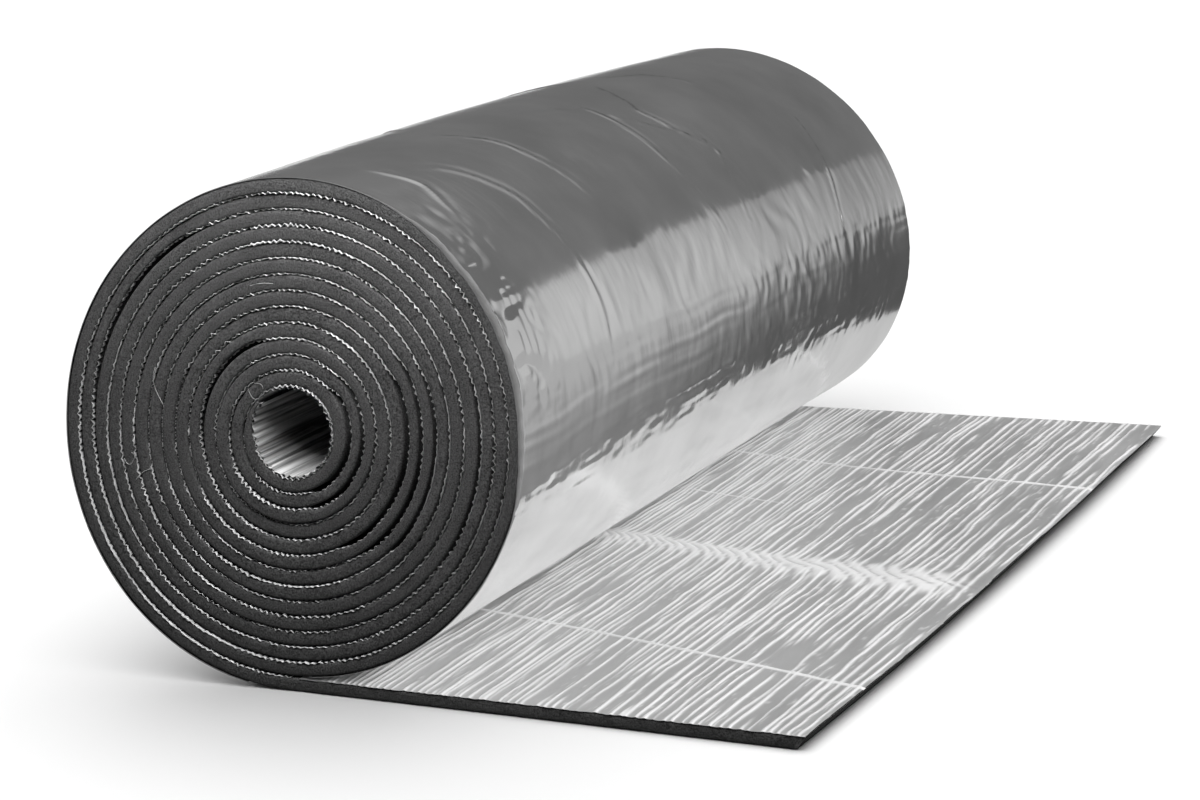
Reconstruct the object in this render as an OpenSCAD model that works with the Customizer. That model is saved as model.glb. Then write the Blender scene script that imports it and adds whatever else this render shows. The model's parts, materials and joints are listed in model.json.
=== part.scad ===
// Roll of foil-faced elastomeric foam insulation with its loose end laid out flat.
// X points along the loose end, Y along the roll and Z up. Lengths are millimetres.
// The sheet winds inward from the loose end: under the roll, up its left side,
// over the top and down its right side, one sheet thickness closer on every turn.

/* [Sheet] */
// Thickness of the black foam
foam_t = 11; // [9:0.1:25]
// Thickness of the creased foil on the inner face
foil_t = 0.4; // [0.3:0.1:1]
// Thickness of the smooth film on the outer face
film_t = 0.4; // [0.3:0.1:1]
// Width of the sheet, which is the length of the roll
sheet_w = 1000; // [600:10:1500]
// Length of the loose end, from the roll's lowest line to its cut edge
tail_len = 450; // [300:10:900]
// Angle by which the loose end lies out of square with the roll
tail_turn = 3; // [0:0.5:8]

/* [Winding] */
// Diameter of the open bore
bore_d = 60; // [40:1:120]
// Number of turns from the bore to the outside
turns = 14; // [6:1:20]
// Air that is left between two turns
slack = 0.8; // [0.2:0.1:2]
// How far the roll sinks into the loose end under its own weight
sink = 1; // [0.5:0.1:2]

/* [Ends] */
// Width of the slit between two turns, at each end of the roll
slit_w = 1.4; // [0.8:0.1:2]
// Depth of the slit between two turns, at each end of the roll
slit_depth = 6; // [2:0.5:20]
// Angle round from the top at which the innermost slit stops
slit_stop = 120; // [60:5:125]

/* [Edges] */
// Angle from the roll's lowest line to each long edge of the film
film_edge = 12; // [9:1:30]
// Gap between the nip and the long edge of the foil
foil_gap = 2; // [1:0.5:10]

/* [Hidden] */
$fn = 180;
left = -1;
right = 1;
cut_over = 1;
sheet_t = foam_t + foil_t + film_t;
pitch = sheet_t + slack;
bore_r = bore_d / 2;
// Each turn is a left half circle round one centre and a right half circle round another,
// half a sheet higher, so that the turns join up into one spiral.
left_r = bore_r + turns * pitch;
left_z = left_r;
right_z = left_z + pitch / 2;
// The outermost right half circle is set apart, because it sinks into the loose end.
outer_z = left_z + (sheet_t - sink) / 2;
outer_r = left_r - (sheet_t - sink) / 2;
nip_x = sqrt(2 * outer_r * sink - sink * sink);
foil_x = nip_x + foil_gap;
// How far the turned loose end drifts to the front, and how far its cut edge slants
tail_drift = tail_len * sin(tail_turn);
tail_slant = sheet_w / 2 * sin(tail_turn);
middle_x = (max(tail_len + tail_slant, outer_r) - left_r) / 2;
middle_y = -tail_drift / 2;

module half_disc(side, r) {
    intersection() {
        circle(r);
        translate([side > 0 ? 0 : -r, -r]) square([r, 2 * r]);
    }
}

// Slice of a half disc next to the roll's lowest line, below the long edges of the film
module low_slice(side, r) {
    reach = 2 * r;
    polygon([[0, 0], [0, -reach], [side * reach * tan(film_edge), -reach]]);
}

module half_ring(side, r, w) {
    difference() {
        half_disc(side, r + w / 2);
        circle(r - w / 2);
    }
}

// Section of one half of the foam, set back under the film and full where no film lies
module foam_half(side, r) {
    half_disc(side, r - film_t);
    intersection() {
        half_disc(side, r);
        low_slice(side, r);
    }
}

module film_half(side, r) {
    difference() {
        half_disc(side, r);
        circle(r - film_t);
        low_slice(side, r);
    }
}

module foam_section() {
    difference() {
        union() {
            translate([0, left_z]) foam_half(left, left_r);
            translate([0, outer_z]) foam_half(right, outer_r);
        }
        translate([0, left_z]) circle(bore_r);
    }
}

// Slits between the turns, which join up into one spiral from the nip to the bore
module slit_section() {
    for (turn = [1 : turns - 1]) {
        translate([0, left_z]) half_ring(left, left_r - turn * pitch, slit_w);
    }
    for (turn = [1 : turns - 2]) {
        translate([0, right_z]) half_ring(right, left_r - (turn + 0.5) * pitch, slit_w);
    }
    translate([0, right_z]) inner_slit(left_r - (turns - 0.5) * pitch);
    translate([0, pitch - slit_w / 2]) square([foil_x, slit_w]);
}

// Plan of the loose end from the roll's lowest line to its cut edge
module tail_plan() {
    half_w = sheet_w / 2;
    polygon([
        [0, -half_w],
        [tail_len - tail_slant, -half_w - tail_drift],
        [tail_len + tail_slant, half_w - tail_drift],
        [0, half_w]
    ]);
}

// Part of the loose end's plan on one side of the foil's long edge at the nip
module tail_part(under_roll) {
    reach = 2 * (tail_len + sheet_w);
    intersection() {
        tail_plan();
        translate([under_roll ? foil_x - reach : foil_x, -reach / 2]) square(reach);
    }
}

// The innermost slit stops where the sheet's inner end thins out against the bore
module inner_slit(r) {
    reach = 2 * (r + slit_w);
    stop = [reach * sin(slit_stop), reach * cos(slit_stop)];
    intersection() {
        half_ring(right, r, slit_w);
        polygon([[0, 0], [0, reach], [reach, reach], [reach, stop[1]], stop]);
    }
}

// Turns a section drawn across the roll into a solid that runs along it
module along_roll(length) {
    rotate([90, 0, 0]) linear_extrude(length, center = true) children();
}

module foam_sheet() {
    slit_y = (sheet_w + cut_over - slit_depth) / 2;
    color("#2a2a2c") translate([-middle_x, -middle_y, 0]) difference() {
        union() {
            along_roll(sheet_w) foam_section();
            linear_extrude(sheet_t - foil_t) tail_plan();
            linear_extrude(sheet_t) tail_part(true);
        }
        for (end = [-1, 1]) {
            translate([0, end * slit_y, 0]) along_roll(slit_depth + cut_over) slit_section();
        }
    }
}

module foil_facing() {
    color("#c8c9cb") translate([-middle_x, -middle_y, sheet_t - foil_t]) {
        linear_extrude(foil_t) tail_part(false);
    }
}

module outer_film() {
    color("#8e9093") translate([-middle_x, -middle_y, 0]) along_roll(sheet_w) {
        translate([0, left_z]) film_half(left, left_r);
        translate([0, outer_z]) film_half(right, outer_r);
    }
}

foam_sheet();
foil_facing();
outer_film();
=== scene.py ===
"""Roll of foil-faced foam insulation with its loose end laid out flat, dressed over its solids."""
import json
import math

import bpy
import numpy as np
from mathutils import Matrix, Vector


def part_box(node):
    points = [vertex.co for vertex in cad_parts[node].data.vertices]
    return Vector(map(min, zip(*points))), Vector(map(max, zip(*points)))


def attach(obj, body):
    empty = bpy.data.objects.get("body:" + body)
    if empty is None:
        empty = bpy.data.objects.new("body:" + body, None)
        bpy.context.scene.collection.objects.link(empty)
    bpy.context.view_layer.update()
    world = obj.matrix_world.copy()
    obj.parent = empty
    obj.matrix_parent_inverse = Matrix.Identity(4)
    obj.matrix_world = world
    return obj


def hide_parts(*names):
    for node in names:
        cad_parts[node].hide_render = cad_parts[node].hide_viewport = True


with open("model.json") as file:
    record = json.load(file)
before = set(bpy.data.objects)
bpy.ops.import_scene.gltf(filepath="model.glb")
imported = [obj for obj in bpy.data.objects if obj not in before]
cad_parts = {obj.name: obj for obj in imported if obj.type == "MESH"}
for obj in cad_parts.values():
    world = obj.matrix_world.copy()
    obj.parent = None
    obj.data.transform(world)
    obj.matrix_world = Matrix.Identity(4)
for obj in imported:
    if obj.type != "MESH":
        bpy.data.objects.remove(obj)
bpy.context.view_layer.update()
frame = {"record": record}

MM = 0.001
TAU = math.tau

# Sizes of the solids, in metres
MOUNTS = {mount["name"]: mount for mount in frame["record"]["mounts"]}
AXIS_X, ROLL_R = (MOUNTS["bore"]["pos_m"][axis] for axis in (0, 2))
BORE_R = MOUNTS["bore"]["dims"]["r_mm"] * MM
FRONT_Y, BACK_Y = (corner[1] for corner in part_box("outer_film"))
ROLL_L = BACK_Y - FRONT_Y
SHEET_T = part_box("foil_facing")[1][2]
FOIL_T = SHEET_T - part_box("foil_facing")[0][2]
FILM_T = FOIL_T
TURNS = 14
PITCH = (ROLL_R - BORE_R) / TURNS
TAIL_TURN = math.radians(3)
TAIL_SLANT = ROLL_L / 2 * math.sin(TAIL_TURN)
TAIL_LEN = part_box("foil_facing")[1][0] - AXIS_X - TAIL_SLANT
TAIL_DRIFT = TAIL_LEN * math.sin(TAIL_TURN)

# How the soft roll lies: its ends lean a little to opposite sides, and it swells between them
LEAN_FRONT = 0.065
LEAN_BACK = -0.08
SWELL = 0.0123
TAPER = -0.0059
# The cut end of the loose sheet bows out and lifts in its middle
TAIL_BOW = 9 * MM
TAIL_LIFT = 3 * MM
# Shares of the loose end's length over which the roll lets go of it, and over which it lifts
TAIL_HELD = (0, 0.45)
TAIL_FREE = (0.4, 1.0)
# Shares of its width over which the lift grows from the front, and from the back
LIFT_FRONT = (0.1, 0.6)
LIFT_BACK = (0, 0.2)

# The winding runs inward from the roll's lowest line; in each turn 0 is low, 90 left, 180 top and 270 right
INNER_TIP = 140
INNER_END = (TURNS - 1) * TAU + math.radians(INNER_TIP)
TIP_TAPER = math.radians(75)
TIP_T = 3 * MM

# Stretches of the winding, as turn, first and last degree, and strength; they fade out at their ends
STRETCH_FADE = math.radians(12)
GAPS = (
    (1, 92, 158, 2.6),
    (9, 78, 168, 2.3),
    (11, 222, 345, 3.2),
    (10, 218, 350, 2.4),
    (7, 236, 338, 3.0),
    (6, 232, 332, 2.5),
    (5, 240, 322, 1.9),
    (2, 248, 312, 1.4),
)
BROAD_LINES = (
    (0, 18, 78, 1.0),
    (1, 12, 64, 0.9),
)
BRIGHT_LINES = (
    (2, 166, 205, 0.7),
    (3, 158, 208, 1.0),
    (4, 168, 206, 0.8),
    (6, 186, 206, 0.9),
    (9, 160, 200, 0.7),
    (8, 198, 232, 0.7),
    (12, 158, 222, 1.0),
    (11, 165, 210, 0.6),
    (3, 222, 236, 0.8),
)
FAINT_LINES = (
    (5, 72, 112, 1.0),
    (6, 66, 118, 1.0),
    (7, 62, 122, 1.0),
    (8, 58, 112, 0.9),
    (11, 60, 118, 0.8),
    (12, 45, 118, 1.0),
)

# Long creases of the film, as points of winding degree and millimetres from the front
FILM_CREASES = (
    ((196, 95), (201, 128), (209, 151), (219, 166), (232, 174), (248, 178), (262, 176)),
    ((186, 330), (193, 425), (198, 466), (208, 464), (221, 459), (231, 468), (246, 481)),
    ((214, 838), (224, 826), (233, 816), (245, 800), (260, 778)),
    ((183, 190), (187, 222), (196, 252), (205, 257), (218, 272), (228, 280)),
    ((186, 585), (191, 568), (205, 530), (216, 547), (226, 578), (240, 590)),
    ((200, 470), (207, 486), (214, 524), (220, 572), (226, 580), (236, 552), (246, 548)),
    ((181, 640), (188, 695), (200, 720), (216, 728)),
    ((190, 60), (204, 72), (216, 60)),
    ((172, 260), (158, 330), (140, 352), (120, 360), (98, 358)),
    ((176, 610), (162, 560), (138, 540), (112, 548), (92, 552)),
    ((168, 820), (150, 770), (128, 760), (104, 770)),
    ((164, 120), (146, 150), (122, 158), (96, 150), (70, 152)),
)

# Score lines of the loose end's foil, as points of tail share and millimetres from its middle
SCORE_LINES = (
    ((0.02, -282), (0.40, -320), (1.0, -388)),
    ((0.02, 294), (0.45, 252), (1.0, 214)),
    ((0.08, 140), (0.25, 118), (0.42, 101)),
)
SCORE_HEIGHTS = (1.35, 1.35, 0.8)
# Crumpled fold down the middle of the loose end
FOLD_LINE = ((0.02, -38), (0.25, -56), (0.62, -96), (1.0, -124))

# Where noise changes in one direction only, it is read half way into a step of the other
LANE = 0.5


def smooth_step(low, high, value):
    share = np.clip((value - low) / (high - low), 0, 1)
    return share * share * (3 - 2 * share)


def crown(share):
    """Rises from 0 at both ends to 1 in the middle."""
    return 4 * share * (1 - share)


def zone(rise, fall, value):
    """Is 1 between two limits, with a rise before it and a fall after it."""
    return smooth_step(*rise, value) * (1 - smooth_step(*fall, value))


def noise(u, v, seed):
    """Smooth noise from -1 to 1 that changes about once in every whole step of u and v."""
    size = 256
    table = np.random.default_rng(seed).uniform(-1, 1, (size, size))
    u, v = np.broadcast_arrays(np.asarray(u, float), np.asarray(v, float))
    cell_u = np.floor(u).astype(int)
    cell_v = np.floor(v).astype(int)
    mix_u = smooth_step(0, 1, u - cell_u)
    mix_v = smooth_step(0, 1, v - cell_v)
    near, far = (
        table[(cell_u + step) % size, cell_v % size] * (1 - mix_v)
        + table[(cell_u + step) % size, (cell_v + 1) % size] * mix_v
        for step in (0, 1)
    )
    return near * (1 - mix_u) + far * mix_u


def turn_angle(turn, degree):
    return turn * TAU + math.radians(degree)


def stretch_weight(angle, stretches):
    """Largest strength of the stretches that each winding angle lies in."""
    weight = np.zeros_like(angle)
    for turn, first, last, strength in stretches:
        low = turn_angle(turn, first)
        high = turn_angle(turn, last)
        inside = zone((low, low + STRETCH_FADE), (high - STRETCH_FADE, high), angle)
        weight = np.maximum(weight, strength * inside)
    return weight


def winding_length(angle):
    return ROLL_R * angle - PITCH * angle**2 / (2 * TAU)


def winding_angle(length):
    """Winding angle after a length of sheet, counted from the roll's lowest line."""
    return (ROLL_R - np.sqrt(ROLL_R**2 - 2 * PITCH / TAU * length)) * TAU / PITCH


def spiral(angle, depth):
    """Section point at a winding angle, that deep under the sheet's outer face."""
    turn = np.floor(angle / TAU)
    within = angle - turn * TAU
    half = np.where(within < math.pi, 0, 0.5)
    radius = ROLL_R - (turn + half) * PITCH - depth
    return -radius * np.sin(within), ROLL_R + half * PITCH - radius * np.cos(within)


def settle(x, y, z, hold=1.0):
    """Section points in the frame, leaned and swollen as the soft roll lies; hold is 0 on the free tail."""
    along = np.clip((y - FRONT_Y) / ROLL_L, 0, 1)
    size = 1 + hold * (TAPER * along + SWELL * crown(along))
    lean = LEAN_FRONT + (LEAN_BACK - LEAN_FRONT) * along
    x_leaned = x + hold * lean * (z - ROLL_R)
    return np.stack(np.broadcast_arrays(AXIS_X + x_leaned * size, y, z * size), axis=-1)


def tail_point(share, across, z):
    """Point of the loose end: share runs from the roll to the cut end, across from the front to the back."""
    front = share * (TAIL_LEN - TAIL_SLANT)
    back = share * (TAIL_LEN + TAIL_SLANT)
    x = front + (back - front) * across + TAIL_BOW * crown(across) * share**3
    y = FRONT_Y + ROLL_L * across - TAIL_DRIFT * share
    lift = TAIL_LIFT * smooth_step(*TAIL_FREE, share) * smooth_step(*LIFT_FRONT, across)
    lift = lift * smooth_step(*LIFT_BACK, 1 - across)
    hold = 1 - smooth_step(*TAIL_HELD, share)
    return settle(x, y, z + lift, hold)


def polyline_distance(u, v, points, scale):
    """Distance of grid points from a bent line, and how far along the line each nearest point lies."""
    line = np.array(points) * scale
    best = np.full(u.shape, np.inf)
    where = np.zeros(u.shape)
    for index in range(len(line) - 1):
        start = line[index]
        run = line[index + 1] - start
        share = ((u - start[0]) * run[0] + (v - start[1]) * run[1]) / (run @ run)
        share = np.clip(share, 0, 1)
        du = u - start[0] - share * run[0]
        dv = v - start[1] - share * run[1]
        side = np.sign(run[0] * dv - run[1] * du)
        distance = np.hypot(du, dv)
        nearer = distance < np.abs(best)
        best = np.where(nearer, distance * side, best)
        where = np.where(nearer, (index + share) / (len(line) - 1), where)
    return best, where


def grid_faces(rows, columns, closed=False, first=0):
    across = columns if closed else columns - 1
    row, column = np.meshgrid(np.arange(rows - 1), np.arange(across), indexing="ij")
    beside = (column + 1) % columns
    corners = [row * columns + column, row * columns + beside]
    corners += [(row + 1) * columns + beside, (row + 1) * columns + column]
    return (np.stack(corners, axis=-1).reshape(-1, 4) + first).tolist()


def add_piece(name, points, faces, material, node=None):
    mesh = bpy.data.meshes.new(name)
    mesh.from_pydata(np.asarray(points).reshape(-1, 3).tolist(), [], faces)
    mesh.polygons.foreach_set("use_smooth", np.ones(len(mesh.polygons), dtype=bool))
    mesh.materials.append(material)
    mesh.update()
    piece = bpy.data.objects.new(name, mesh)
    bpy.context.collection.objects.link(piece)
    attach(piece, "root")
    if node:
        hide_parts(node)
    return piece


# The turns telescope a little, so their edges stand back from the roll's flat ends
SETBACK = 1.6 * MM
SETBACK_SLOW = 0.9 * MM
SETBACK_TURN = 1.0 * MM
SETBACK_WAVE = 2.2
SETBACK_GROWS = (0.6 * TAU, 2 * TAU)
SETBACK_SEEDS = {-1: 11, 1: 12}


def end_setback(angle, end):
    """How far the sheet's edge stands back from the roll's flat end at a winding angle."""
    seed = SETBACK_SEEDS[end]
    slow = SETBACK_SLOW * noise(angle / SETBACK_WAVE, LANE, seed)
    turn_step = SETBACK_TURN * noise(angle / TAU, LANE + 3, seed)
    return smooth_step(*SETBACK_GROWS, angle) * (SETBACK + slow + turn_step)


def foam_depth(angle):
    """Depth of the foam's inner face, which thins at the gaps and at the inner tip."""
    tip = smooth_step(INNER_END - TIP_TAPER, INNER_END, angle)
    full = SHEET_T - FOIL_T - stretch_weight(angle, GAPS) * MM
    return full + (TIP_T - full) * tip


# Rounded cut edge of the foam, as shares of its thickness and distances back from the cut
EDGE_SHARES = np.array([0.0, 0.05, 0.16, 0.36, 0.64, 0.84, 0.95, 1.0])
EDGE_BACK = np.array([1.8, 0.55, 0.12, 0.0, 0.0, 0.12, 0.55, 1.8]) * MM
FOAM_STEP = 3.4 * MM
TAIL_ROWS = 90
TAIL_COLUMNS = 40
TAIL_TOP = SHEET_T - FOIL_T
# How ragged the cut edges are, as a depth, a length along the edge and a step through the thickness
RAGGED = (0.5 * MM, 9 * MM, 0.5)
ROUGH = (0.35 * MM, 7 * MM, 0.7)
# The knife slanted under the cut end
UNDERCUT_FRONT = 8 * MM
UNDERCUT_BACK = 9 * MM
UNDERCUT_GROWS = (0.1, 0.7)
UNDERCUT_ROWS = (0.94, 1.0)


def undercut(share, across, height_share):
    """Share of the tail at a height of its foam, moved back where the cut end slants under."""
    most = UNDERCUT_FRONT + (UNDERCUT_BACK - UNDERCUT_FRONT) * smooth_step(*UNDERCUT_GROWS, across)
    return share - most / TAIL_LEN * (1 - height_share) * smooth_step(*UNDERCUT_ROWS, share)


def foam_tail_rows():
    """Loops of points round the loose end, from its cut end to the roll."""
    edge_count = len(EDGE_SHARES)
    shares = np.linspace(1, 0, TAIL_ROWS)
    across = np.linspace(0, 1, TAIL_COLUMNS + 2)[1:-1]
    depth = FILM_T + EDGE_SHARES * (TAIL_TOP - FILM_T)
    rag, wave, step = RAGGED
    loops = []
    for share in shares:
        ragged = rag * noise(share * TAIL_LEN / wave, np.arange(edge_count) * step, seed=21)
        edge_in = (EDGE_BACK + np.abs(ragged)) / ROLL_L
        front = tail_point(undercut(share, edge_in, EDGE_SHARES), edge_in, depth)
        back_edge = 1 - edge_in[::-1]
        back = tail_point(undercut(share, back_edge, EDGE_SHARES[::-1]), back_edge, depth[::-1])
        top = tail_point(share, across, np.full_like(across, depth[-1]))
        under = across[::-1]
        bottom = tail_point(undercut(share, under, 0), under, np.full_like(under, depth[0]))
        loops.append(np.concatenate([front, top, back, bottom]))
    return np.array(loops)


def foam_winding_rows():
    """Loops of points round the wound sheet, from the roll's lowest line to the inner tip."""
    length = np.arange(FOAM_STEP, winding_length(INNER_END), FOAM_STEP)
    angle = winding_angle(length)
    depth = FILM_T + EDGE_SHARES[None, :] * (foam_depth(angle) - FILM_T)[:, None]
    x, z = spiral(angle[:, None], depth)
    rag, wave, step = ROUGH
    loops = []
    for end, flat_y in ((-1, FRONT_Y), (1, BACK_Y)):
        rough = rag * noise(length[:, None] / wave, np.arange(len(EDGE_SHARES)) * step, seed=30 + end)
        inside = EDGE_BACK + end_setback(angle, end)[:, None] + np.abs(rough)
        points = settle(x, flat_y - end * inside, z)
        loops.append(points if end < 0 else points[:, ::-1])
    return np.concatenate(loops, axis=1)


def make_foam(material):
    edge_count = len(EDGE_SHARES)
    tail = foam_tail_rows()
    winding = foam_winding_rows()
    tail_rows, tail_loop = tail.shape[:2]
    rows, loop = winding.shape[:2]
    first = tail_rows * tail_loop
    faces = grid_faces(tail_rows, tail_loop, closed=True)
    faces += grid_faces(rows, loop, closed=True, first=first)
    # Where the tail runs into the roll, its many columns meet the winding's single span.
    joint = (tail_rows - 1) * tail_loop
    for side_first, wound_first in ((0, 0), (edge_count + TAIL_COLUMNS, edge_count)):
        for step in range(edge_count - 1):
            a = joint + side_first + step
            b = first + wound_first + step
            faces.append([a, a + 1, b + 1, b])
    top = list(range(joint + edge_count - 1, joint + edge_count + TAIL_COLUMNS + 1))
    faces.append(top + [first + edge_count, first + edge_count - 1])
    bottom = list(range(joint + 2 * edge_count + TAIL_COLUMNS - 1, joint + tail_loop)) + [joint]
    faces.append(bottom + [first, first + loop - 1])
    # Cut end of the tail: strips between its upper and lower rows of points
    upper = list(range(edge_count - 1, edge_count + TAIL_COLUMNS + 1))
    lower = [0] + list(range(tail_loop - 1, 2 * edge_count + TAIL_COLUMNS - 2, -1))
    for left in range(len(upper) - 1):
        faces.append([lower[left], lower[left + 1], upper[left + 1], upper[left]])
    faces.append(list(range(edge_count)))
    faces.append(list(range(edge_count + TAIL_COLUMNS, 2 * edge_count + TAIL_COLUMNS)))
    # Inner tip of the winding
    tip = first + (rows - 1) * loop
    faces.append([tip + index for index in range(loop)])
    points = np.concatenate([tail.reshape(-1, 3), winding.reshape(-1, 3)])
    piece = add_piece("foam_roll", points, faces, material, "foam_sheet")
    return piece


# Teeth of the foil's edge between the turns, and how deep the foil is let into the foam
LINE_SEED = 41
TOOTH_MIN = 2.0 * MM
TOOTH_MAX = 3.6 * MM
LINE_ROOT = 5 * MM
LINE_INSET = 0.25 * MM
# Zigzag of the edge, which is weaker on broad lines and livelier in some places than in others
ZIGZAG = 2.1 * MM
ZIGZAG_BROAD = 1.0 * MM
ZIGZAG_LEAST = 0.25
LIVELY = 0.6
LIVELY_WAVE = 60 * MM
# Thickness of the edge, what bright lines add at most, and what every other tooth of a broad line adds
LINE_T = 0.1 * MM
LINE_T_SPREAD = 0.26 * MM
LINE_T_BRIGHT = 1.3 * MM
LINE_T_BROAD = 0.9 * MM
BROAD_TEETH = 0.5
# How far the edge stands out, in millimetres: its mean, slow and quick changes, and what lines add
SHOW_MEAN = -0.1
SHOW_SLOW = 1.3
SHOW_QUICK = 1.3
SHOW_WAVE = 26 * MM
OUT_SHOW = 0.9
OUT_BRIGHT = 1.0
OUT_BROAD = 0.5
OUT_FAINT = -2.8
OUT_GAP = -0.7
OUT_LIMITS = (-3.5, 0.8)


def make_foil_line(end, name, material):
    """Creased edge of the foil that shows between the turns at one end of the roll."""
    rng = np.random.default_rng(LINE_SEED + end)
    whole = winding_length(INNER_END)
    length = np.cumsum(rng.uniform(TOOTH_MIN, TOOTH_MAX, int(whole / TOOTH_MIN)))
    length = length[length < whole]
    count = len(length)
    angle = winding_angle(length)
    broad = stretch_weight(angle, BROAD_LINES)
    bright = stretch_weight(angle, BRIGHT_LINES)
    faint = stretch_weight(angle, FAINT_LINES)
    gap = stretch_weight(angle, GAPS)
    zigzag = np.where(np.arange(count) % 2 == 0, 1, -1) * rng.uniform(ZIGZAG_LEAST, 1, count)
    lively = LIVELY + (1 - LIVELY) * noise(length / LIVELY_WAVE, LANE, seed=43 + end)
    shift = zigzag * lively * (ZIGZAG - ZIGZAG_BROAD * broad)
    thick = LINE_T + LINE_T_SPREAD * rng.random(count) ** 2
    thick = thick + LINE_T_BRIGHT * bright * rng.random(count) ** 2
    thick = thick + broad * np.where(rng.random(count) < BROAD_TEETH, LINE_T_BROAD, 0)
    show = SHOW_MEAN + SHOW_SLOW * noise(length / SHOW_WAVE, LANE + 1, seed=45 + end)
    show = show + SHOW_QUICK * rng.uniform(-1, 1, count)
    out = OUT_SHOW * show + OUT_BRIGHT * bright + OUT_BROAD * broad + OUT_FAINT * faint + OUT_GAP * gap
    out = np.clip(out, *OUT_LIMITS) * MM
    middle = foam_depth(angle) + LINE_INSET + shift
    flat_y = FRONT_Y if end < 0 else BACK_Y
    setback = end_setback(angle, end)
    outer_y = flat_y - end * (setback - out)
    inner_y = flat_y - end * (setback + LINE_ROOT)
    corners = []
    for side, y in ((-1, outer_y), (1, outer_y), (1, inner_y), (-1, inner_y)):
        x, z = spiral(angle, middle + side * thick / 2)
        corners.append(settle(x, y, z))
    points = np.stack(corners, axis=1)
    faces = grid_faces(count, len(corners), closed=True)
    last = (count - 1) * len(corners)
    faces += [[3, 2, 1, 0], [last, last + 1, last + 2, last + 3]]
    return add_piece(name, points, faces, material)


# Loose hairs of foil on the front end: turn and degree of an arc's middle, its radius, first and last degree
HAIRS = (
    (12, 142, 6.5, 10, 340),
    (8, 112, 30, 150, 210),
    (4, 82, 5, 190, 420),
    (6, 62, 34, 122, 150),
    (9, 176, 42, 100, 128),
)
HAIR_R = 0.22 * MM
HAIR_PROUD = 0.5 * MM
HAIR_WOBBLE = 0.12
HAIR_LOBES = 3
HAIR_WAVES = 2
HAIR_STEPS = 24
# Corners of a hair's section, as steps outward and forward
HAIR_CORNERS = ((1, 0), (0, -1), (-1, 0), (0, 1))


def make_hairs(material):
    """Thin curled hairs of foil that lie on the front end."""
    points, faces = [], []
    corner_count = len(HAIR_CORNERS)
    for turn, degree, radius, first, last in HAIRS:
        angle = turn_angle(turn, degree)
        middle_x, middle_z = spiral(angle, SHEET_T / 2)
        arc = np.radians(np.linspace(first, last, HAIR_STEPS))
        out = radius * MM * (1 + HAIR_WOBBLE * np.sin(HAIR_LOBES * arc))
        face_y = FRONT_Y + end_setback(angle, -1) - HAIR_PROUD * (1 + np.sin(HAIR_WAVES * arc)) / 2
        start = len(points) * HAIR_STEPS * corner_count
        stop = start + (HAIR_STEPS - 1) * corner_count
        faces += grid_faces(HAIR_STEPS, corner_count, closed=True, first=start)
        faces += [[start + 3, start + 2, start + 1, start], [stop, stop + 1, stop + 2, stop + 3]]
        corners = []
        for outward, forward in HAIR_CORNERS:
            reach = out + outward * HAIR_R
            x = middle_x + reach * np.cos(arc)
            z = middle_z + reach * np.sin(arc)
            corners.append(settle(x, face_y + forward * HAIR_R, z))
        points.append(np.stack(corners, axis=1))
    return add_piece("foil_hairs", np.array(points), faces, material)


BORE_COLUMNS = 60
BORE_STEP = math.radians(0.7)
BORE_LAP = math.radians(8)
# Creases of the bore's foil, in millimetres round the bore and as steps along it
BORE_BEND = 6
BORE_BENDS = 3
BORE_CREASE_W = 4.2
BORE_CREASES = 5
BORE_FINE_W = 2.1
BORE_FINES = 7
BORE_FINE = 0.5
BORE_RELIEF = 0.75
BORE_LIFT = 1.7
# Flutes along the bore, and how they stray from an even spacing
FLUTE_H = 0.8
FLUTE_W = 8
FLUTE_STRAY = 2
FLUTE_STRAY_W = 30


def make_bore_lining(material):
    """Creased foil on the wall of the bore, over the innermost turn."""
    angle = np.arange(INNER_END - TAU - BORE_LAP, INNER_END, BORE_STEP)
    along = np.linspace(0, 1, BORE_COLUMNS)
    run = winding_length(angle)[:, None] / MM
    bend = BORE_BEND * noise(along * BORE_BENDS, LANE, seed=51)
    crease = noise((run + bend) / BORE_CREASE_W, along * BORE_CREASES, seed=52)
    crease = crease + BORE_FINE * noise((run - bend) / BORE_FINE_W, along * BORE_FINES, seed=53)
    flute = np.sin(run / FLUTE_W * TAU + FLUTE_STRAY * noise(run / FLUTE_STRAY_W, LANE, seed=49))
    depth = foam_depth(angle)[:, None] + (BORE_LIFT + BORE_RELIEF * crease + FLUTE_H * flute) * MM
    x, z = spiral(angle[:, None], depth)
    back = end_setback(angle, 1)[:, None]
    front = end_setback(angle, -1)[:, None]
    y = (FRONT_Y + front) + (ROLL_L - front - back) * along
    points = settle(x, y, z)
    return add_piece("bore_foil", points, grid_faces(len(angle), BORE_COLUMNS), material)


FILM_FIRST = 12
FILM_LAST = 356
# Rows of the film as first degree and step, closest where its wrinkles are sharpest
FILM_ROWS = ((FILM_FIRST, 1.6), (180, 1.1), (222, 0.56), (300, 1.4))
FILM_FINE = 90 * MM
FILM_FINE_STEP = 2.3 * MM
FILM_STEP = 3.75 * MM
# The film rolls over the rims, as distances from the flat end and under the outer face
RIM_BACK = np.array([-0.2, -0.5, -0.4, 0.3, 1.4, 3.0]) * MM
RIM_DEPTH = np.array([5.0, 3.2, 1.7, 0.6, 0.1, 0.0]) * MM


# How far round the rims the film rolls over, and how uneven that is
ROLL_OVER_LEAST = 0.15
ROLL_OVER_ZONE = ((200, 228), (268, 290))
ROLL_OVER_STRAY = 0.15
ROLL_OVER_WAVE = 3
RIM_RELIEF = 0.3
# The film's relief fades towards its long edges; its floor and its lift keep it clear of the foam
FILM_ENDS = ((FILM_FIRST, FILM_FIRST + 14), (FILM_LAST - 16, FILM_LAST))
FILM_LOWEST = -0.5 * MM
FILM_PROUD = 0.6 * MM

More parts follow.
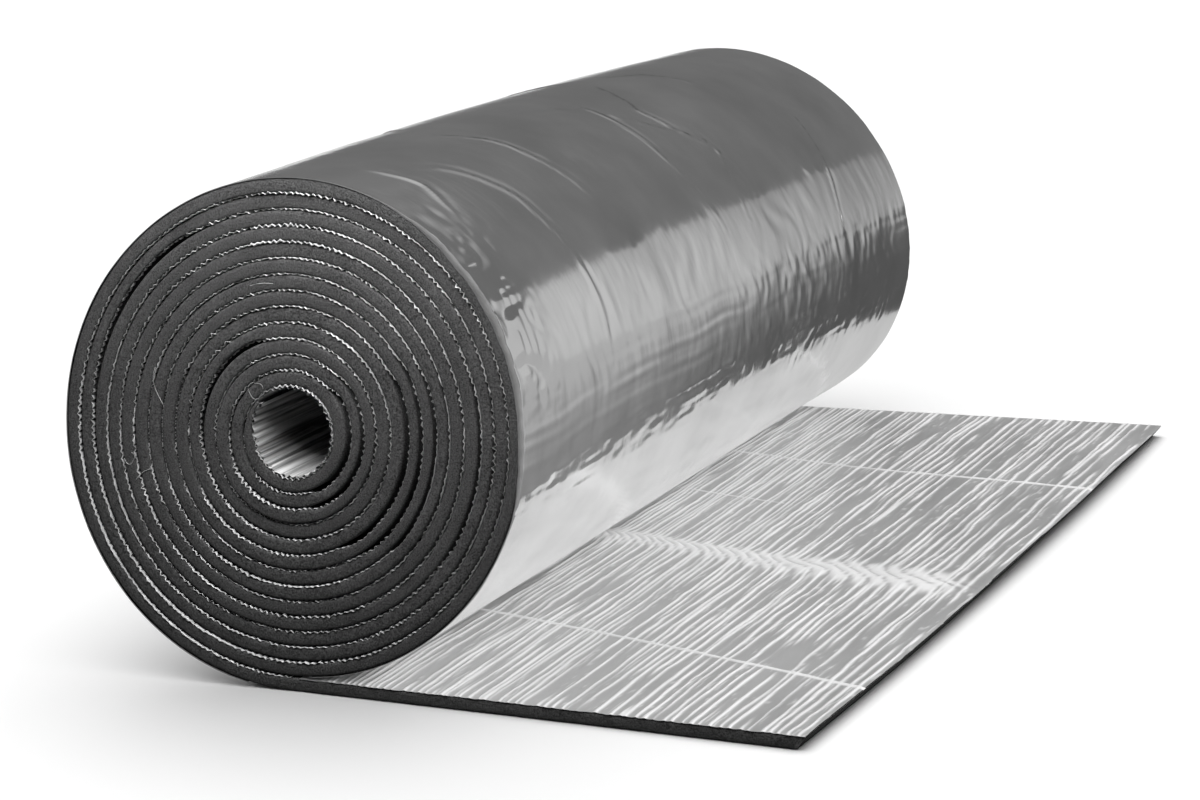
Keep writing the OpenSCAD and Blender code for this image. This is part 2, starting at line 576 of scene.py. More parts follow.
# Waves of the film, as lengths in millimetres round the roll and along it, and a seed
FILM_WAVES = {
    "sag": (150, 260, 61),
    "dent": (55, 90, 62),
    "stray": (26, 26, 70),
    "drift": (70, 110, 47),
    "drape": (15, 95, 48),
    "draped": (80, 120, 46),
    "sway": (40, 40, 64),
    "patch": (110, 150, 63),
    "fine_girth": (50, 9, 65),
    "broad_girth": (45, 24, 54),
    "calm": (60, 75, 53),
    "twist": (25, 30, 66),
    "crumple": (15, 8, 67),
    "streak": (5.5, 110, 69),
    "long_crush": (5, 34, 58),
    "short_crush": (9, 13, 50),
    "facet": (22, 24, 59),
    "fine_facet": (10, 11, 55),
    "rim_ripple": (24, 30, 57),
}
# Heights of the film's relief in millimetres
SAG_H = 0.7
DENT_H = 0.3
DRAPE_H = 0.34
PATCH_H = 0.13
SIDE_H = 0.32
CRUMPLE_H = 0.3
STREAK_H = 0.3
LONG_CRUSH_H = 0.4
SHORT_CRUSH_H = 0.3
FACET_H = 1.7
RIM_RIPPLE_H = 0.45
# Long creases: a ridge with a lower furrow beside it, in millimetres
CREASE_H = 1.3
CREASE_W = 2.6
CREASE_STRAY = 3
CREASE_ENDS = (0.02, 0.98)
CREASE_FADE = 0.7
FURROW = 0.6
FURROW_W = 3.6
FURROW_GAP = 6
FURROW_STRAY = 2
FURROW_WAVES = 6
# Zones of the relief, as degrees of the winding or millimetres from the front
TOP_ZONE = ((146, 170), (212, 232))
SIDE_ZONE = ((224, 236), (258, 272))
CRUMPLE_ZONE = ((250, 264), (292, 306))
FAR_ZONE = ((330, 540), (930, 990))
STREAK_ZONE = ((254, 266), (284, 296))
RIM_ZONE = ((206, 220), (256, 272))
RIM_REACH = (26, 96)
RIM_RIPPLE_REACH = 26
CRUSH_AT = 284
CRUSH_W = 6
# Levels of noise over which a patch of relief comes in, and how waves bend and mix
DRAPED = (-0.3, 0.5)
PATCHED = (-0.15, 0.45)
UNCALM = (-0.1, 0.5)
CALM_LEAST = 0.3
DRIFT = 2
FINE_SWAY = 1.5
BROAD_SWAY = 1.4
FINE_GIRTH = 0.7
BROAD_GIRTH = 0.9
STREAK_BEND_W = 60
STREAK_FAR_LOSS = 0.6
FINE_FACET = 0.5
FACET_MEAN = 0.5


def film_relief(degrees, along):
    """Height of the film's wrinkles over the roll, in metres; along is millimetres from the front."""
    round_mm = np.radians(degrees) * ROLL_R / MM

    def wave(name, round_shift=0, along_shift=0):
        round_w, along_w, seed = FILM_WAVES[name]
        return noise(round_mm / round_w + round_shift, along / along_w + along_shift, seed)

    height = SAG_H * wave("sag") + DENT_H * wave("dent")
    # Long creases that bend from the roll's length to its girth
    scale = np.array([math.radians(1) * ROLL_R / MM, 1.0])
    stray = CREASE_STRAY * wave("stray")
    for index, points in enumerate(FILM_CREASES):
        distance, share = polyline_distance(round_mm, along, points, scale)
        distance = distance + stray
        fade = np.sin(np.clip(share, *CREASE_ENDS) * math.pi) ** CREASE_FADE
        gap = FURROW_GAP + FURROW_STRAY * noise(share * FURROW_WAVES, index + LANE, seed=71)
        furrow = FURROW * np.exp(-((distance - gap) / FURROW_W) ** 2)
        height = height + CREASE_H * fade * (np.exp(-(distance / CREASE_W) ** 2) - furrow)
    # Soft folds along the top, drawn out lengthwise
    drape = wave("drape", DRIFT * wave("drift")) * smooth_step(*DRAPED, wave("draped"))
    height = height + DRAPE_H * zone(*TOP_ZONE, degrees) * drape
    # Fine wrinkles round the girth, in patches, strongest half way down the right side
    sway = wave("sway")
    girth = FINE_GIRTH * wave("fine_girth", 0, FINE_SWAY * sway)
    girth = girth + BROAD_GIRTH * wave("broad_girth", 0, BROAD_SWAY * sway)
    calm = CALM_LEAST + (1 - CALM_LEAST) * smooth_step(*UNCALM, wave("calm"))
    side = SIDE_H * zone(*SIDE_ZONE, degrees) * calm
    height = height + (PATCH_H * smooth_step(*PATCHED, wave("patch")) + side) * girth
    # Crumples low on the right side, towards the back
    far = zone(*FAR_ZONE, along)
    crumple = wave("crumple", 0, wave("twist"))
    height = height + CRUMPLE_H * zone(*CRUMPLE_ZONE, degrees) * far * crumple
    # Streaks along the roll, and crushed spots over them
    streak = wave("streak", noise(along / STREAK_BEND_W, LANE, seed=68))
    height = height + STREAK_H * zone(*STREAK_ZONE, degrees) * (1 - STREAK_FAR_LOSS * far) * streak
    crushed = LONG_CRUSH_H * wave("long_crush") + SHORT_CRUSH_H * wave("short_crush")
    height = height + np.exp(-((degrees - CRUSH_AT) / CRUSH_W) ** 2) * crushed
    # Crumples where the film turns over the front rim, and ripples along both rims
    rim = zone(*RIM_ZONE, degrees) * (1 - smooth_step(*RIM_REACH, along))
    facets = np.abs(wave("facet")) + FINE_FACET * np.abs(wave("fine_facet"))
    height = height + FACET_H * rim * (facets - FACET_MEAN)
    round_w, along_w, seed = FILM_WAVES["rim_ripple"]
    for edge in (along, ROLL_L / MM - along):
        ripple = noise(round_mm / round_w, edge / along_w, seed)
        height = height + RIM_RIPPLE_H * np.exp(-edge / RIM_RIPPLE_REACH) * ripple
    return height * MM


def make_film(material, rim):
    stops = [first for first, step in FILM_ROWS[1:]] + [FILM_LAST]
    rows = [np.arange(first, stop, step) for (first, step), stop in zip(FILM_ROWS, stops)]
    degrees = np.append(np.concatenate(rows), FILM_LAST)
    angle = np.radians(degrees)
    fine = np.arange(RIM_BACK[-1] + FILM_FINE_STEP, FILM_FINE, FILM_FINE_STEP)
    coarse = np.arange(FILM_FINE, ROLL_L - RIM_BACK[-1], FILM_STEP)
    inner_rows = np.concatenate([fine, coarse])
    back = np.concatenate([RIM_BACK, inner_rows, ROLL_L - RIM_BACK[::-1]])
    dip = np.concatenate([RIM_DEPTH, np.zeros_like(inner_rows), RIM_DEPTH[::-1]])
    wide, deep = np.meshgrid(degrees, back, indexing="ij")
    roll_over = ROLL_OVER_LEAST + (1 - ROLL_OVER_LEAST) * zone(*ROLL_OVER_ZONE, degrees)
    stray = ROLL_OVER_STRAY * noise(degrees / ROLL_OVER_WAVE, LANE, seed=56)
    roll_over = roll_over * (1 - ROLL_OVER_STRAY + stray)
    relief = film_relief(wide, np.clip(deep, 0, ROLL_L) / MM)
    relief = relief * np.where(dip <= RIM_DEPTH[-2], 1, RIM_RELIEF)
    inside = zone(*FILM_ENDS, degrees)[:, None]
    relief = np.maximum(relief * inside, FILM_LOWEST) + FILM_PROUD * inside
    depth = dip[None, :] * roll_over[:, None] - relief
    x, z = spiral(angle[:, None], depth)
    points = settle(x, FRONT_Y + deep, z)
    faces = grid_faces(len(degrees), len(back))
    piece = add_piece("film_wrap", points, faces, material, "outer_film")
    piece.data.materials.append(rim)
    columns = np.tile(np.arange(len(back) - 1), len(degrees) - 1)
    turned = len(RIM_BACK) - 2
    on_rim = (columns < turned) | (columns >= len(back) - 1 - turned)
    piece.data.polygons.foreach_set("material_index", on_rim.astype(int))
    return piece


TAIL_FOIL_STEP = 1.1 * MM
TAIL_FOIL_SPACING = 5.2 * MM
# Extra columns beside each score line, in millimetres from it
SCORE_OFFSETS = (-3.2, -1.8, -0.9, 0.9, 1.8, 3.2)
FOIL_FIRST = 0.01
# Point attribute holding the share of painted highlight on the loose end's ridge crests
CREST_HIGHLIGHT = "crease"
# Ridges across the loose end, closer near the roll, with short branches; lengths are in millimetres
RIDGES = 66
RIDGE_SEED = 82
RIDGE_CROWD = 0.72
RIDGE_PLACES = (0.25, 0.75)
RIDGE_HEIGHTS = (0.75, 1.25)
RIDGE_W = 1.75
RIDGE_W_STRAY = 0.45
RIDGE_SWAY = 2.4
RIDGE_QUIVER = 0.9
RIDGE_SHOWS = (-0.8, -0.1)
BRANCH_SHOWS = (0.25, 0.6)
BRANCH_H = 0.6
BRANCH_W = 1.0
BRANCH_GAP = 3.4
BRANCH_STRAY = 1.4
# Waves along the ridges, as a length, a step from ridge to ridge, the first ridge's place and a seed
RIDGE_WAVES = {
    "sway": (80, 1, 0.5, 83),
    "quiver": (17, 1, 0.5, 84),
    "strength": (110, 1.7, 0.3, 85),
    "breadth": (50, 2.3, 0, 86),
    "branch": (30, 3.1, 0.7, 87),
    "branch_gap": (12, 1, 0.2, 88),
}
# Small flecks between the ridges
FLECK_H = 0.55
FLECK_SHOWS = (0.6, 0.9)
FLECK_RUN = 2.6
FLECK_SIDE = 7
# Score lines
SCORE_W = 2.2
SCORE_STRAY = 0.5
SCORE_STRAY_W = 16
SCORE_UNEVEN = 0.35
SCORE_UNEVEN_W = 12
# The fold widens towards the cut end and fades out just before it; slanting wrinkles cross it
FOLD_H = 2.0
FOLD_W = 16
FOLD_WIDER = 14
FOLD_WIDENS = (0.3, 0.85)
FOLD_FADES = (0.88, 1.0)
FOLD_LOSS = 0.8
FOLD_STRAY = 4
FOLD_STRAY_W = 50
WRINKLE_LOW = 0.4
WRINKLE_H = 1.05
WRINKLE_SHARPNESS = 0.6
WRINKLE_W = 9
WRINKLE_WIDER = 6
WRINKLE_SLANT = 0.35
WRINKLE_CURL = 7
WRINKLE_CURL_W = 11
WRINKLE_JITTER = 4
WRINKLE_JITTER_RUN = 22
WRINKLE_JITTER_SIDE = 18
# The sheet's own waves, and where the relief starts beside the roll
SHEET_WAVE_H = 0.5
SHEET_WAVE_RUN = 90
SHEET_WAVE_SIDE = 140
CLEAR_OF_ROLL = (0.03, 0.09)
# Ridge heights in millimetres over which the painted highlight on the crests comes in
CREST_HIGHLIGHT_RISE = (0.2, 0.85)
# The relief is lower near the foil's edges, which are ragged and turn down; lengths are in millimetres
FLAT_END = (-2, 4)
FLAT_SIDE = (0, 4)
FLAT_SIDE_SHARE = 0.5
FOIL_LOWEST = -0.2 * MM
RAG_MEAN = 0.3
RAG_STRAY = 0.5
RAG_REACH = 2
RAG_RUN = 5 * MM
RAG_STEPS = 3
TURN_DOWN = 0.5 * MM
TURN_DOWN_REACH = 2.5


def tail_columns(share):
    """Shares across the loose end for each row, on columns that follow the score lines and the fold."""
    anchors = [np.zeros_like(share)]
    for line in (SCORE_LINES[0], FOLD_LINE, SCORE_LINES[2], SCORE_LINES[1]):
        place, side = np.array(line).T
        anchors.append(np.interp(share, place, side) / (ROLL_L / MM) + 0.5)
    anchors.append(np.ones_like(share))
    columns = []
    for near, far in zip(anchors, anchors[1:]):
        count = int(np.mean(far - near) * ROLL_L / TAIL_FOIL_SPACING)
        columns += [near + (far - near) * step / count for step in range(count)]
    columns.append(anchors[-1])
    for anchor in anchors[1:-1]:
        columns += [anchor + offset * MM / ROLL_L for offset in SCORE_OFFSETS]
    return np.sort(np.stack(columns, axis=1), axis=1)


def ridge_relief(run, side):
    """Ridges across the loose end, as heights in millimetres at lengths along it and across it."""
    def wave(name, index):
        length, step, first, seed = RIDGE_WAVES[name]
        return noise(side / length, index * step + first, seed)

    ridges = np.zeros_like(run)
    rng = np.random.default_rng(RIDGE_SEED)
    for index in range(RIDGES):
        place = (index + rng.uniform(*RIDGE_PLACES)) / RIDGES
        middle = TAIL_LEN / MM * place * (RIDGE_CROWD + (1 - RIDGE_CROWD) * place)
        sway = RIDGE_SWAY * wave("sway", index) + RIDGE_QUIVER * wave("quiver", index)
        strength = smooth_step(*RIDGE_SHOWS, wave("strength", index))
        breadth = RIDGE_W * (1 + RIDGE_W_STRAY * wave("breadth", index))
        offset = run - middle - sway
        crest = rng.uniform(*RIDGE_HEIGHTS) * strength * np.exp(-(offset / breadth) ** 2)
        branch = BRANCH_H * smooth_step(*BRANCH_SHOWS, wave("branch", index))
        offset = offset - BRANCH_GAP - BRANCH_STRAY * wave("branch_gap", index)
        branch = branch * np.exp(-(offset / BRANCH_W) ** 2)
        ridges = np.maximum(ridges, np.maximum(crest, branch))
    flecks = FLECK_H * smooth_step(*FLECK_SHOWS, noise(run / FLECK_RUN, side / FLECK_SIDE, seed=89))
    return np.maximum(ridges, flecks)


def tail_relief(share, across):
    """Height of the loose end's foil over its foam, in metres, and the share of painted highlight on its
    ridge crests, from 0 to 1.
    """
    run = share * TAIL_LEN / MM
    side = (across - 0.5) * ROLL_L / MM
    ridges = ridge_relief(run, side)
    for line, strength in zip(SCORE_LINES, SCORE_HEIGHTS):
        place, middle = np.array(line).T
        stray = SCORE_STRAY * noise(run / SCORE_STRAY_W, LANE, seed=90)
        distance = side - np.interp(share, place, middle) - stray
        drawn = strength * (share >= place[0]) * (share <= place[-1])
        drawn = drawn * (1 + SCORE_UNEVEN * noise(run / SCORE_UNEVEN_W, LANE, seed=93))
        ridges = np.maximum(ridges, drawn * np.exp(-(distance / SCORE_W) ** 2))
    # Fold down the middle, crossed by slanting wrinkles
    place, middle = np.array(FOLD_LINE).T
    stray = FOLD_STRAY * noise(run / FOLD_STRAY_W, LANE, seed=94)
    distance = side - np.interp(share, place, middle) - stray
    half_w = FOLD_W + FOLD_WIDER * smooth_step(*FOLD_WIDENS, share)
    body = np.exp(-(distance / half_w) ** 2) * (1 - FOLD_LOSS * smooth_step(*FOLD_FADES, share))
    jitter = WRINKLE_JITTER * noise(run / WRINKLE_JITTER_RUN, side / WRINKLE_JITTER_SIDE, seed=91)
    slant = run + WRINKLE_SLANT * distance + WRINKLE_CURL * np.sin(distance / WRINKLE_CURL_W) + jitter
    phase = slant / (WRINKLE_W + WRINKLE_WIDER * share) * TAU
    wrinkle = (0.5 + 0.5 * np.sin(phase)) ** WRINKLE_SHARPNESS
    ridges = ridges * (1 - body) + body * (WRINKLE_LOW + WRINKLE_H * wrinkle)
    clear = smooth_step(*CLEAR_OF_ROLL, share)
    waves = SHEET_WAVE_H * noise(run / SHEET_WAVE_RUN, side / SHEET_WAVE_SIDE, seed=81) + FOLD_H * body
    return (ridges + waves) * clear * MM, smooth_step(*CREST_HIGHLIGHT_RISE, ridges) * clear


def make_tail_foil(material):
    share = np.append(np.arange(FOIL_FIRST, 1.0, TAIL_FOIL_STEP / TAIL_LEN), 1.0)
    across = tail_columns(share)
    share = np.broadcast_to(share[:, None], across.shape)
    side_mm = np.minimum(across, 1 - across) * ROLL_L / MM
    end_mm = (1 - share) * TAIL_LEN / MM
    flatten = FLAT_SIDE_SHARE + (1 - FLAT_SIDE_SHARE) * smooth_step(*FLAT_SIDE, side_mm)
    flatten = flatten * smooth_step(*FLAT_END, end_mm)
    # crease is the share of painted highlight on the ridge crests, stored on the foil for its material
    relief, crease = tail_relief(share, across)
    relief = np.maximum(relief, FOIL_LOWEST) * flatten
    ragged = RAG_MEAN + RAG_STRAY * noise(share * TAIL_LEN / RAG_RUN, across * RAG_STEPS, seed=92)
    ragged = ragged * np.exp(-side_mm / RAG_REACH) * np.sign(across - 0.5)
    points = tail_point(share, across + ragged * MM / ROLL_L, TAIL_TOP + FOIL_T + relief)
    points[..., 2] -= TURN_DOWN * smooth_step(TURN_DOWN_REACH, 0, np.minimum(side_mm, end_mm))
    piece = add_piece("tail_foil", points, grid_faces(*across.shape), material, "foil_facing")
    shade = piece.data.attributes.new(CREST_HIGHLIGHT, "FLOAT", "POINT")
    shade.data.foreach_set("value", crease.astype(np.float32).ravel())
    return piece


def new_material(name):
    material = bpy.data.materials.new(name)
    material.use_nodes = True
    nodes = material.node_tree.nodes
    return material, nodes, material.node_tree.links, nodes["Principled BSDF"]


def mapped_noise(nodes, links, scale, stretch=(1, 1, 1), detail=3):
    """Noise in the frame's own metres, stretched along its axes."""
    place = nodes.new("ShaderNodeTexCoord")
    mapping = nodes.new("ShaderNodeMapping")
    mapping.inputs["Scale"].default_value = stretch
    texture = nodes.new("ShaderNodeTexNoise")
    texture.inputs["Scale"].default_value = scale
    texture.inputs["Detail"].default_value = detail
    links.new(place.outputs["Object"], mapping.inputs["Vector"])
    links.new(mapping.outputs["Vector"], texture.inputs["Vector"])
    return texture.outputs["Fac"]


# Levels of a noise texture between which most of its range lies
NOISE_LOW = 0.3
NOISE_HIGH = 0.7


def ramp(nodes, links, source, low, high, first=NOISE_LOW, last=NOISE_HIGH):
    """Grey ramp between two brightnesses."""
    node = nodes.new("ShaderNodeValToRGB")
    for stop, place, grey in zip(node.color_ramp.elements, (first, last), (low, high)):
        stop.position = place
        stop.color = (grey, grey, grey, 1)
    links.new(source, node.inputs["Fac"])
    return node.outputs["Color"]


def span(nodes, links, source, low, high, first=NOISE_LOW, last=NOISE_HIGH):
    """Number that runs from low to high."""
    node = nodes.new("ShaderNodeMapRange")
    node.inputs["From Min"].default_value = first
    node.inputs["From Max"].default_value = last
    node.inputs["To Min"].default_value = low
    node.inputs["To Max"].default_value = high
    links.new(source, node.inputs["Value"])
    return node.outputs["Result"]


def mix_colours(nodes, links, share, first, second):
    node = nodes.new("ShaderNodeMix")
    node.data_type = "RGBA"
    if isinstance(share, float):
        node.inputs["Factor"].default_value = share
    else:
        links.new(share, node.inputs["Factor"])
    links.new(first, node.inputs["A"])
    links.new(second, node.inputs["B"])
    return node.outputs["Result"]


def add_bump(nodes, links, shader, heights):
    """Bumps from pairs of a height and its depth in metres, one on top of the other."""
    normal = None
    for height, depth in heights:
        bump = nodes.new("ShaderNodeBump")
        bump.inputs["Strength"].default_value = 1.0
        bump.inputs["Distance"].default_value = depth
        links.new(height, bump.inputs["Height"])
        if normal:
            links.new(normal, bump.inputs["Normal"])
        normal = bump.outputs["Normal"]
    links.new(normal, shader.inputs["Normal"])


# Depths of the materials' own grain
CELL_DEPTH = 0.2 * MM
PORE_DEPTH = 0.25 * MM
FOIL_GRAIN = 0.2 * MM
FILM_GRAIN = 0.25 * MM
BORE_GRAIN = 0.5 * MM


def foam_material():
    material, nodes, links, shader = new_material("foam_black")
    cells = mapped_noise(nodes, links, scale=820, detail=4)
    clouds = mapped_noise(nodes, links, scale=28)
    grain = ramp(nodes, links, cells, low=0.001, high=0.036, first=0.34, last=0.72)
    shade = ramp(nodes, links, clouds, low=0.006, high=0.012)
    colour = mix_colours(nodes, links, share=0.45, first=grain, second=shade)
    links.new(colour, shader.inputs["Base Color"])
    shader.inputs["Roughness"].default_value = 0.82
    shader.inputs["Specular IOR Level"].default_value = 0.04
    pores = mapped_noise(nodes, links, scale=520, detail=2)
    add_bump(nodes, links, shader, ((cells, CELL_DEPTH), (pores, PORE_DEPTH)))
    return material


FLAT_SPREAD = 0.04
CREST_SPREAD = 0.03
CREST_METAL = 0.25


def foil_material(name, flat_grey, crest_highlight_grey, flat_metal):
    """Satin foil with a painted highlight: its raised crests get a whiter base colour and less metal than its
    flats.
    """
    material, nodes, links, shader = new_material(name)
    clouds = mapped_noise(nodes, links, scale=26, stretch=(1, 0.4, 1))
    flats = ramp(nodes, links, clouds, low=flat_grey - FLAT_SPREAD, high=flat_grey + FLAT_SPREAD)
    highlighted_crests = ramp(nodes, links, clouds, low=crest_highlight_grey - CREST_SPREAD, high=crest_highlight_grey + CREST_SPREAD)
    # Painted highlight: the crest share mixes the whiter crest grey into the base colour
    crease = nodes.new("ShaderNodeAttribute")
    crease.attribute_name = CREST_HIGHLIGHT
    sharpness = crease.outputs["Fac"]
    links.new(mix_colours(nodes, links, sharpness, flats, highlighted_crests), shader.inputs["Base Color"])
    metal = span(nodes, links, sharpness, low=flat_metal, high=CREST_METAL, first=0, last=1)
    links.new(metal, shader.inputs["Metallic"])
    links.new(span(nodes, links, clouds, low=0.34, high=0.44), shader.inputs["Roughness"])
    fine = mapped_noise(nodes, links, scale=260, stretch=(1, 0.25, 1), detail=4)
    add_bump(nodes, links, shader, ((fine, FOIL_GRAIN),))
    return material


def film_material():
    material, nodes, links, shader = new_material("film_silver")
    clouds = mapped_noise(nodes, links, scale=9, detail=4)
    links.new(ramp(nodes, links, clouds, low=0.77, high=0.98), shader.inputs["Base Color"])
    shader.inputs["Metallic"].default_value = 1.0
    links.new(span(nodes, links, clouds, low=0.1, high=0.18), shader.inputs["Roughness"])
    streaks = mapped_noise(nodes, links, scale=60, stretch=(0.35, 1, 0.35), detail=5)
    add_bump(nodes, links, shader, ((streaks, FILM_GRAIN),))
    return material


def rim_material():
    material, nodes, links, shader = new_material("film_edge")
    clouds = mapped_noise(nodes, links, scale=90, detail=4)
    links.new(ramp(nodes, links, clouds, low=0.16, high=0.22), shader.inputs["Base Color"])
    shader.inputs["Metallic"].default_value = 0.2
    links.new(span(nodes, links, clouds, low=0.5, high=0.6), shader.inputs["Roughness"])
    return material


def bore_material():
    material, nodes, links, shader = new_material("foil_in_bore")
    streaks = mapped_noise(nodes, links, scale=320, stretch=(1, 0.02, 1), detail=4)
    greys = ramp(nodes, links, streaks, low=0.13, high=0.68, first=0.36, last=0.62)
    links.new(greys, shader.inputs["Base Color"])
    shader.inputs["Metallic"].default_value = 0.8
    links.new(span(nodes, links, streaks, low=0.3, high=0.42), shader.inputs["Roughness"])
    add_bump(nodes, links, shader, ((streaks, BORE_GRAIN),))
    return material


FLOOR_HALF = 30.0
FLOOR_GREY = 0.82
FLOOR_SPREAD = 0.01
BOARD_Y = 5.5
BOARD_FRONT = -2.0
BOARD_RIGHT = 7.0
BOARD_LIFT = 20 * MM
# Line where the dark board stops and the pale one begins, from the front to the back
BOARD_SPLIT = ((0.135, BOARD_FRONT), (0.135, 0.3), (0.125, 0.6), (0.06, 0.85), (0.06, BOARD_Y))
# Upright board behind the roll: where it starts, and its height there and at its far end
UPRIGHT_X = 1.0
UPRIGHT_NEAR = 1.0
UPRIGHT_FAR = 5.3


def flat_shape(name, corners, material):
    mesh = bpy.data.meshes.new(name)
    mesh.from_pydata(corners, [], [list(range(len(corners)))])
    mesh.materials.append(material)
    board = bpy.data.objects.new(name, mesh)
    bpy.context.collection.objects.link(board)
    return board


def rectangle(low_x, low_y, high_x, high_y, z):
    return [(low_x, low_y, z), (high_x, low_y, z), (high_x, high_y, z), (low_x, high_y, z)]


def make_stage():
    material, nodes, links, shader = new_material("floor_white")
    clouds = mapped_noise(nodes, links, scale=0.6)
    greys = ramp(nodes, links, clouds, low=FLOOR_GREY - FLOOR_SPREAD, high=FLOOR_GREY + FLOOR_SPREAD)
    links.new(greys, shader.inputs["Base Color"])
    shader.inputs["Roughness"].default_value = 0.9
    shader.inputs["Specular IOR Level"].default_value = 0.1
    floor = flat_shape("floor", rectangle(-FLOOR_HALF, -FLOOR_HALF, FLOOR_HALF, FLOOR_HALF, 0), material)
    # Boards that only reflections see, as a studio sets them beside bright metal
    split_x = BOARD_SPLIT[1][0]
    veil_y = FRONT_Y - TAIL_DRIFT
    tail_y = BACK_Y - TAIL_DRIFT
    dark = [(BOARD_RIGHT, BOARD_FRONT), (BOARD_RIGHT, BOARD_Y)] + list(BOARD_SPLIT[::-1])
    pale = [(AXIS_X, tail_y), (split_x, tail_y)] + list(BOARD_SPLIT[2:]) + [(AXIS_X, BOARD_Y)]
    beyond_end = [(x, y, BOARD_LIFT) for x, y in dark]
    behind = [(x, y, BOARD_LIFT) for x, y in pale]
    over_tail = rectangle(AXIS_X, veil_y, split_x, tail_y, BOARD_LIFT)
    beside = rectangle(-BOARD_RIGHT, -BOARD_Y, AXIS_X - ROLL_R / 2, BOARD_Y, MM)
    foot = [(UPRIGHT_X, BOARD_Y, 0), (BOARD_RIGHT, BOARD_Y, 0)]
    upright = foot + [(BOARD_RIGHT, BOARD_Y, UPRIGHT_FAR), (UPRIGHT_X, BOARD_Y, UPRIGHT_NEAR)]
    # Each board's outline, the slope its grey changes along, from where to where, its greys and its cover
    for name, outline, slope, span_m, greys, cover in (
        ("board_dark", beyond_end, (1, -0.28, 0), (0.04, 0.45), (0.09, 0.46), 1.0),
        ("board_pale", behind, (0, 1, 0), (0.5, 2.5), (0.6, 0.4), 1.0),
        ("board_veil", over_tail, (0, 1, 0), (-0.5, 0.5), (1.0, 0.86), 0.42),
        ("board_left", beside, (1, 0, 0), (-2.0, -0.3), (0.34, 0.66), 1.0),
        ("board_upright", upright, (1, 0, 0), (1.2, 2.9), (0.24, 0.56), 1.0),
    ):
        board = flat_shape(name, outline, glow_material(name, slope, span_m, greys, cover))
        board.visible_camera = False
        board.visible_diffuse = False
        board.visible_transmission = False
        board.visible_shadow = False
    return floor


def glow_material(name, slope, span_m, greys, cover):
    """Glow that changes from one grey to another along a slope; its back and uncovered share are clear."""
    material, nodes, links, shader = new_material(name)
    place = nodes.new("ShaderNodeTexCoord")
    along = nodes.new("ShaderNodeVectorMath")
    along.operation = "DOT_PRODUCT"
    along.inputs[1].default_value = slope
    links.new(place.outputs["Object"], along.inputs[0])
    share = span(nodes, links, along.outputs["Value"], low=0, high=1, first=span_m[0], last=span_m[1])
    links.new(ramp(nodes, links, share, *greys, first=0, last=1), shader.inputs["Emission Color"])
    shader.inputs["Base Color"].default_value = (0, 0, 0, 1)
    shader.inputs["Specular IOR Level"].default_value = 0
    shader.inputs["Emission Strength"].default_value = 1.0
    facing = nodes.new("ShaderNodeNewGeometry")
    clear = nodes.new("ShaderNodeBsdfTransparent")
    one_sided = nodes.new("ShaderNodeMixShader")
    uncovered = nodes.new("ShaderNodeMath")
    uncovered.operation = "MAXIMUM"
    uncovered.inputs[1].default_value = 1 - cover
    links.new(facing.outputs["Backfacing"], uncovered.inputs[0])
    links.new(uncovered.outputs["Value"], one_sided.inputs[0])
    links.new(shader.outputs["BSDF"], one_sided.inputs[1])
    links.new(clear.outputs["BSDF"], one_sided.inputs[2])
    links.new(one_sided.outputs["Shader"], nodes["Material Output"].inputs["Surface"])
    return material


def add_lamp(kind, name, energy, place=(0, 0, 0), tilt=(0, 0, 0)):
    """Lamp that no reflection shows, tilted by degrees round the three axes."""
    lamp = bpy.data.lights.new(name, kind)
    lamp.energy = energy
    light = bpy.data.objects.new(name, lamp)
    light.location = place
    light.rotation_euler = [math.radians(value) for value in tilt]
    light.visible_glossy = False
    bpy.context.collection.objects.link(light)
    return lamp


def aim_lamp(name, pieces):
    """The lamp of this name lights these pieces alone."""
    lit = bpy.data.collections.new("lit_" + name)
    for piece in pieces:
        lit.objects.link(piece)
    bpy.data.objects[name].light_linking.receiver_collection = lit


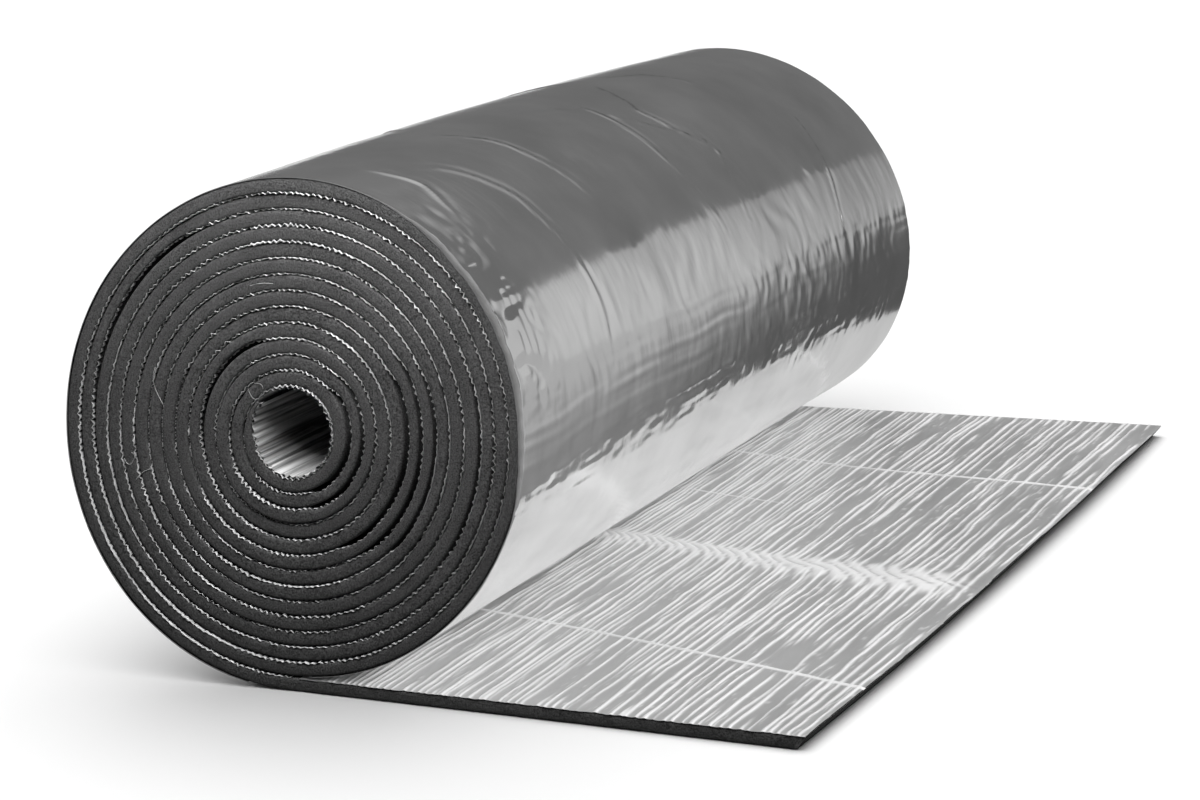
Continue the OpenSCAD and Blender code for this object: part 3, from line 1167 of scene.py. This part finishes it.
def make_light():
    world = bpy.data.worlds.new("studio")
    bpy.context.scene.world = world
    world.use_nodes = True
    nodes, links = world.node_tree.nodes, world.node_tree.links
    place = nodes.new("ShaderNodeTexCoord")
    split = nodes.new("ShaderNodeSeparateXYZ")
    links.new(place.outputs["Generated"], split.inputs["Vector"])
    sky = ramp(nodes, links, split.outputs["Z"], low=0.16, high=0.7, first=0.45, last=0.95)
    links.new(sky, nodes["Background"].inputs["Color"])
    nodes["Background"].inputs["Strength"].default_value = 1.0
    # Raking light from the right, light from above, light for the floor, a weak fill and a lamp in front
    add_lamp("SUN", "side", energy=3.7, tilt=(9, 60, 0)).angle = math.radians(35)
    add_lamp("SUN", "above", energy=0.6, tilt=(-6, 8, 0)).angle = math.radians(60)
    add_lamp("SUN", "floor_light", energy=2.0).angle = math.radians(90)
    add_lamp("SUN", "fill", energy=0.6, tilt=(-38, -42, 0)).angle = math.radians(40)
    add_lamp("AREA", "front", energy=49, place=(-0.07, -0.74, 0.86), tilt=(50, 0, 0)).size = 0.5


CAMERA_PLACE = (0.9046, -2.2380, 0.6729)
CAMERA_YAW = math.radians(23.861)
CAMERA_PITCH = math.radians(12.474)
CAMERA_ROLL = math.radians(-3.025)
CAMERA_LENS = 79.99
CAMERA_SENSOR = 36
CAMERA_REACH = 200


def make_camera():
    back = Vector((
        math.sin(CAMERA_YAW) * math.cos(CAMERA_PITCH),
        -math.cos(CAMERA_YAW) * math.cos(CAMERA_PITCH),
        math.sin(CAMERA_PITCH),
    ))
    level = Vector((math.cos(CAMERA_YAW), math.sin(CAMERA_YAW), 0))
    rise = back.cross(level)
    right = level * math.cos(CAMERA_ROLL) + rise * math.sin(CAMERA_ROLL)
    up = rise * math.cos(CAMERA_ROLL) - level * math.sin(CAMERA_ROLL)
    lens = bpy.data.cameras.new("camera")
    lens.sensor_width = CAMERA_SENSOR
    lens.lens = CAMERA_LENS
    lens.clip_end = CAMERA_REACH
    camera = bpy.data.objects.new("camera", lens)
    turn = Matrix((right, up, back)).transposed().to_4x4()
    camera.matrix_world = Matrix.Translation(CAMERA_PLACE) @ turn
    bpy.context.collection.objects.link(camera)
    bpy.context.scene.camera = camera


make_camera()
make_light()
floor = make_stage()
bpy.context.scene.view_settings.view_transform = "Standard"

foam = foam_material()
# The loose end's foil gets a near-white painted highlight on its crests over grey flats
foil = foil_material("foil_creased", flat_grey=0.57, crest_highlight_grey=0.9, flat_metal=0.62)
line_foil = foil_material("foil_cut_edge", flat_grey=0.13, crest_highlight_grey=0.5, flat_metal=0.3)
front_end = [
    make_foam(foam),
    make_foil_line(-1, "foil_line_front", line_foil),
    make_hairs(line_foil),
    make_bore_lining(bore_material()),
]
others = [
    make_foil_line(1, "foil_line_back", line_foil),
    make_film(film_material(), rim_material()),
    make_tail_foil(foil),
]
aim_lamp("front", front_end)
aim_lamp("side", front_end + others)
aim_lamp("floor_light", [floor])
